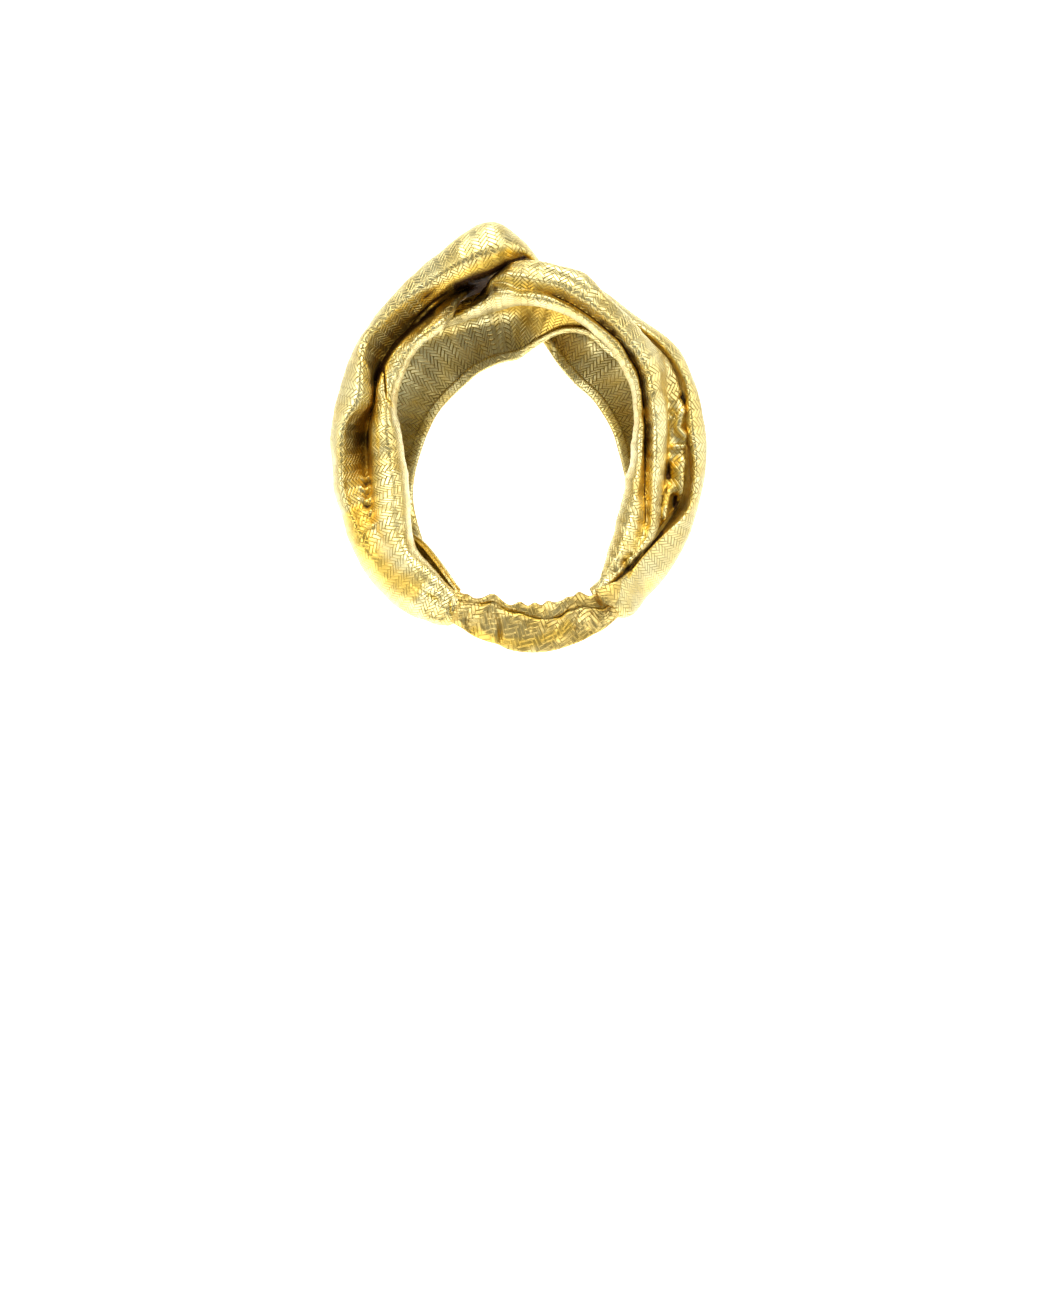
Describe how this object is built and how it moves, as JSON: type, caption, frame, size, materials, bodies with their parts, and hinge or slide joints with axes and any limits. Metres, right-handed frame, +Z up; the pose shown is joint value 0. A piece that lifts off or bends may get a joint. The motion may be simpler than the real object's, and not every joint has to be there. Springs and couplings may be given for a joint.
{
  "type": "turban headband",
  "caption": "Turban headband of embossed gold cloth: wide folded wraps cross over the head and a ruched elastic band joins them at the nape.",
  "frame": {"origin": "head_seat, the point of the head's surface under the crossing, midway through the wraps' depth on top of the head", "axes": "+Z up, +Y towards the wearer's face, +X towards the wearer's right"},
  "size_m": [0.2382, 0.1516, 0.2654],
  "materials": {
    "wrap_cloth": "metallic gold, herringbone emboss",
    "band_cloth": "metallic gold, gathered"
  },
  "bodies": {
    "root": {"over_wrap": "wrap_cloth", "under_wrap_left": "wrap_cloth", "under_wrap_top": "wrap_cloth", "under_wrap_right": "wrap_cloth", "nape_band": "band_cloth"}
  },
  "joints": []
}
